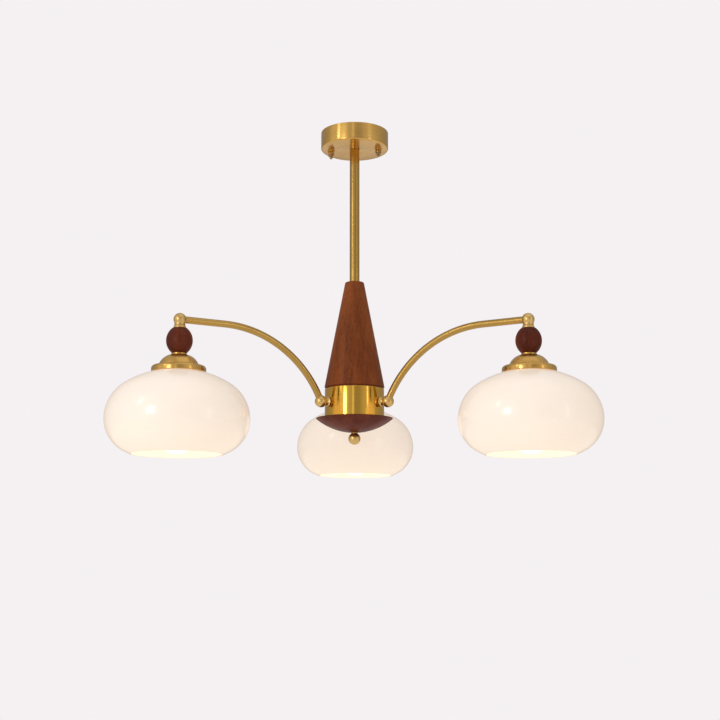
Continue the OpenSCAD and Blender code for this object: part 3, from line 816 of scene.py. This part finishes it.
def make_cap(side):
    """Spun cap: lip, dome, and a rolled rim over the glass."""
    node = "cap_" + side
    low, high = bottom(node), top(node)
    rim = radius(node)
    wall = SPUN_WALL
    dome_r, dome_x, dome_z = 22, 7, high - 24
    lip_r = 10.65
    lip_angle = math.degrees(math.asin((lip_r - dome_x) / dome_r)) + 2.5
    step = high - 18
    foot_angle = 90 - math.degrees(math.asin((step - dome_z) / dome_r)) - 1.5
    outline = [(5.1, high, 0.2), (lip_r, high, 0.7), (lip_r, high - 2.0)]
    outline += arc(dome_x, dome_z, dome_r, lip_angle, foot_angle, 26)
    outline += [(dome_x + 21.5, step, 0.5), (rim, step, 4.4), (rim, low, 0.5),
                (rim - wall, low, 0.5), (rim - wall, step - wall, 3.4),
                (dome_x + 20, step - wall, 0.3)]
    outline += arc(dome_x, dome_z, dome_r - wall, foot_angle, 0, 20)
    outline += [(5.1, dome_z + dome_r - wall)]
    piece(node + "_spun", turned(node, rounded(outline, 6), 128), axis_place(node), "lamp_" + side,
          "satin_brass", [node])


def flat_arc(half):
    """Radius of the shade's flatter arc over its pole, which runs into its side arc."""
    height, side_r = half
    reach = SHADE_R - side_r
    return (reach ** 2 + height ** 2 - side_r ** 2) / (2 * (height - side_r))


def oval(inset, start, end, steps):
    """Points on the shade's oval from the angle of its surface, 0 up to 180 down."""
    points = []
    for k in range(steps + 1):
        turn = start + (end - start) * k / steps
        half = SHADE_UPPER if turn <= 90 else SHADE_LOWER
        height, side_r = half
        reach = SHADE_R - side_r
        big = flat_arc(half)
        switch = math.degrees(math.atan2(reach, big - height))
        from_pole = min(turn, 180 - turn)
        way = 1 if turn <= 90 else -1
        if from_pole < switch:
            centre, size = (0, way * (height - big)), big - inset
        else:
            centre, size = (reach, 0), side_r - inset
        aim = math.radians(turn)
        points.append((centre[0] + size * math.sin(aim), centre[1] + size * math.cos(aim)))
    return points


def pole_angle(half, from_axis):
    """Angle of the shade's flatter arc, from its pole, at a distance from the axis."""
    return math.degrees(math.asin(from_axis / flat_arc(half)))


def shade_mid():
    """Level of the shade's widest part, from where its crown meets the cap's rim."""
    big = flat_arc(SHADE_UPPER)
    seat = radius("cap_left") - SPUN_WALL
    crown = math.sqrt(big ** 2 - seat ** 2) - (big - SHADE_UPPER[0])
    return bottom("cap_left") - SEAT_GAP - crown


def make_shade(side):
    """Blown glass oval with a rounded, fire-polished mouth."""
    node = "shade_" + side
    hole_r, mouth_r = 21, 63.5
    hole = pole_angle(SHADE_UPPER, hole_r)
    mouth = 180 - pole_angle(SHADE_LOWER, mouth_r)
    outside = oval(0, hole, mouth, 96)
    inside = oval(SHADE_WALL, mouth, hole, 96)
    end = (Vector(outside[-1]) + Vector(inside[0])) / 2
    lip = []
    spoke = Vector(outside[-1]) - end
    for k in range(1, 8):
        turn = Matrix.Rotation(-math.pi * k / 8, 2)
        lip.append(tuple(end + turn @ spoke))
    outline = outside + lip + inside
    mid = shade_mid()
    mesh = turned(node, [(r, z + mid) for r, z in outline], 160)
    piece(node + "_glass", mesh, axis_place(node), node, "opal_glass", [node])


def make_shade_ring(side):
    """Moulded ring with a grip rib round its edge."""
    node = "shade_ring_" + side
    low, high = bottom(node), top(node)
    outer = radius(node) - 0.8
    corners = [(20.1, low, 0.3), (outer, low, 0.6), (outer, high, 0.6), (20.1, high, 0.3)]
    body = turned(node, rounded(corners, 3), 96)
    rib = rib_mesh(outer - 0.9, (low + high) / 2, 1.6, high - low - 1, 10)
    ribs = grown(node + "_ribs", "ring_of", rib,
                 {"Count": 20, "Finish": FINISHES["cream_plastic"]})
    piece(node + "_ribbed", merged(node, body, ribs), axis_place(node), node,
          "cream_plastic", [node])


def make_bulb(side):
    """Glass bulb with a neck that runs into its screw base."""
    node = "bulb_globe_" + side
    size = radius(node)
    low, high = bottom(node), top(node)
    centre = low + size
    neck_r = 13.5
    neck = Vector((neck_r, high - centre))
    lean = math.degrees(math.atan2(neck.x, neck.y) + math.acos(size / neck.length))
    outline = arc(0, centre, size, 180, lean, 44)
    outline += [(neck_r, high), (0, high)]
    piece(node + "_frosted", turned(node, outline, 96), axis_place(node), "bulb_" + side,
          "bulb_glass", [node])


def make_bulb_base(side):
    """Screw shell with a rolled thread and a centre contact."""
    node = "bulb_base_" + side
    low, high = bottom(node), top(node)
    core = 12.2
    outline = rounded([(0, low), (core, low), (core, high - 3.6, 1.2), (4.2, high - 1.6, 0.6),
                       (4, high, 0.4), (0, high)], 4)
    body = turned(node, outline, 64)
    ridge = thread_mesh(node + "_thread", core - 0.2, low + 2.2, high - 5.5, 3.6, 1.0,
                        "plated_steel")
    piece(node + "_shell", merged(node, body, ridge), axis_place(node), "bulb_" + side,
          "plated_steel", [node])


def make_lampholder(side):
    """Moulded lampholder: domed head, flange above the glass, threaded skirt."""
    node = "lampholder_" + side
    low, high = bottom(node), top(node)
    flange = top("shade_" + side) + SEAT_GAP
    flange_top = flange + 2
    socket_top = bottom("cap_" + side) - 2
    bore, socket, skirt, head, flange_r = 5, 13.7, 20, 17, 26
    corners = [(bore, high), (9, high, 0.8), (13, high - 2.4, 1.0), (head, high - 6.4, 1.5),
               (head, flange_top, 0.4), (flange_r, flange_top, 0.6), (flange_r, flange, 0.4),
               (skirt, flange, 0.3), (skirt, low, 0.5), (socket, low, 0.5),
               (socket, socket_top, 0.3), (bore, socket_top)]
    piece(node + "_moulded", turned(node, rounded(corners, 4), 96), axis_place(node),
          "lamp_" + side, "cream_plastic", [node])


# ---- Inner ironwork --------------------------------------------------------------

def finish_cad_nodes():
    """The bracket, pipes, nuts and terminal block keep their own shapes."""
    steel = ["ceiling_bracket", "canopy_studs", "stem_pipe", "stem_washer", "stem_nut",
             "hub_pipe", "hub_nut", "tie_rod"]
    steel += [part + "_" + side for part in ("knuckle_nut", "nipple") for side in ARMS]
    for node in steel:
        coat_node(node, FINISHES["plated_steel"])
    coat_node("terminal_block", FINISHES["cream_plastic"])
    coat_node("earth_screw", SHADED_BRASS)


def coat_node(node, finish):
    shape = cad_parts[node]
    for place in shape.material_slots:
        place.material = finish


# ---- Surroundings ----------------------------------------------------------------

def make_camera():
    lens = bpy.data.cameras.new("camera")
    lens.lens = 60
    lens.sensor_width = 36
    lens.clip_start = 0.05
    holder = bpy.data.objects.new("camera", lens)
    look_up = 9.46
    holder.location = (0.0083, -1.786, -0.655)
    holder.rotation_euler = (math.radians(90 + look_up), 0, 0)
    collection.objects.link(holder)
    scene.camera = holder


def make_floor():
    """Plain pale floor, a room's height below the ceiling."""
    room_height = 2.4
    bm = bmesh.new()
    bmesh.ops.create_circle(bm, cap_ends=True, segments=96, radius=9.0,
                            matrix=Matrix.Translation((0, 0, -room_height)))
    mesh = bpy.data.meshes.new("floor")
    bm.to_mesh(mesh)
    bm.free()
    floor = bpy.data.objects.new("floor", mesh)
    collection.objects.link(floor)
    material = bpy.data.materials.new("floor_paint")
    material.use_nodes = True
    shader = material.node_tree.nodes["Principled BSDF"]
    shader.inputs["Base Color"].default_value = (0.86, 0.84, 0.845, 1)
    shader.inputs["Roughness"].default_value = 0.9
    shader.inputs["Emission Color"].default_value = (1, 0.98, 0.96, 1)
    shader.inputs["Emission Strength"].default_value = 0.25
    mesh.materials.append(material)


def area_light(name, place, aim, width, height, power, colour=(1, 1, 1)):
    lamp = bpy.data.lights.new(name, "AREA")
    lamp.shape = "RECTANGLE"
    lamp.size = width
    lamp.size_y = height
    lamp.energy = power
    lamp.color = colour
    holder = bpy.data.objects.new(name, lamp)
    holder.location = place
    way = Vector(aim) - Vector(place)
    holder.rotation_euler = way.to_track_quat("-Z", "Y").to_euler()
    collection.objects.link(holder)


def make_lights():
    """Two soft lights on the left, one over the other, and weaker ones right and above."""
    middle = (0, 0, -0.35)
    area_light("window", (-1.25, -1.72, -0.2), middle, width=0.38, height=0.6, power=4.5)
    area_light("high_window", (-1.74, -1.22, 0.6), middle, width=0.2, height=0.7, power=1.6)
    area_light("right_fill", (1.9, -1.5, -0.3), middle, width=0.2, height=1.2, power=1.2,
               colour=(1, 0.97, 0.93))
    area_light("overhead", (0.3, -0.5, 1.2), middle, width=1.6, height=1.6, power=2)


def make_world():
    """Near-white backdrop for the camera; a softly banded studio for everything else."""
    world = bpy.data.worlds.new("studio")
    scene.world = world
    world.use_nodes = True
    tree = world.node_tree
    tree.nodes.clear()
    way = tree.nodes.new("ShaderNodeTexCoord").outputs["Generated"]
    split = add(tree, "ShaderNodeSeparateXYZ", {0: way})
    towards_viewer = math_node(tree, "MULTIPLY", split.outputs[1], -1.0)
    heading = math_node(tree, "ARCTAN2", split.outputs[0], towards_viewer)
    around = fit_range(tree, heading, -math.pi, math.pi)
    bands = add(tree, "ShaderNodeValToRGB", {0: around})
    ramp = bands.color_ramp
    # Heading in degrees from the camera's side, and how bright the studio is there.
    shades = [(-180, 0.32), (-130, 0.34), (-98, 0.46), (-78, 0.78), (-60, 0.66), (-47, 0.90),
              (-29, 0.84), (-22, 0.58), (-9, 0.54), (-5, 1.15), (-1, 0.46), (4, 0.36),
              (20, 0.38), (31, 0.52), (47, 0.62), (51, 0.85), (56, 0.66), (80, 0.50),
              (105, 0.40), (135, 0.33), (180, 0.32)]
    ramp.elements.remove(ramp.elements[1])
    for i, (degrees, level) in enumerate(shades):
        spot = (degrees + 180) / 360
        element = ramp.elements[0] if i == 0 else ramp.elements.new(spot)
        element.position = spot
        element.color = (level, level * 0.985, level * 0.96, 1)
    steep = math_node(tree, "ABSOLUTE", split.outputs[2])
    lift = fit_range(tree, steep, 0.35, 0.85)
    ends = blend_colours(tree, fit_range(tree, split.outputs[2], -0.2, 0.2),
                         (0.62, 0.60, 0.58, 1), (0.55, 0.55, 0.56, 1))
    studio = blend_colours(tree, lift, bands.outputs[0], ends)
    backdrop = add(tree, "ShaderNodeBackground",
                   {"Color": (0.913, 0.880, 0.896, 1), "Strength": 1.0})
    room = add(tree, "ShaderNodeBackground", {"Color": studio, "Strength": 0.95})
    seen = tree.nodes.new("ShaderNodeLightPath").outputs["Is Camera Ray"]
    mix = add(tree, "ShaderNodeMixShader",
              {0: seen, 1: room.outputs[0], 2: backdrop.outputs[0]})
    out = tree.nodes.new("ShaderNodeOutputWorld")
    tree.links.new(mix.outputs[0], out.inputs["Surface"])


# ---- Build -----------------------------------------------------------------------

scene.view_settings.view_transform = "Standard"
make_camera()
make_canopy()
for hand in ("left", "right"):
    make_canopy_washer(hand)
    make_canopy_nut(hand)
make_stem()
make_cone()
make_hub()
make_dish()
make_finial()
for hand in ARMS:
    make_knuckle(hand)
    make_arm_tube(hand)
    make_elbow(hand)
    make_collar(hand)
    make_bead(hand)
    make_cap(hand)
    make_shade(hand)
    make_shade_ring(hand)
    make_bulb(hand)
    make_bulb_base(hand)
    make_lampholder(hand)
finish_cad_nodes()
make_floor()
make_lights()
make_world()
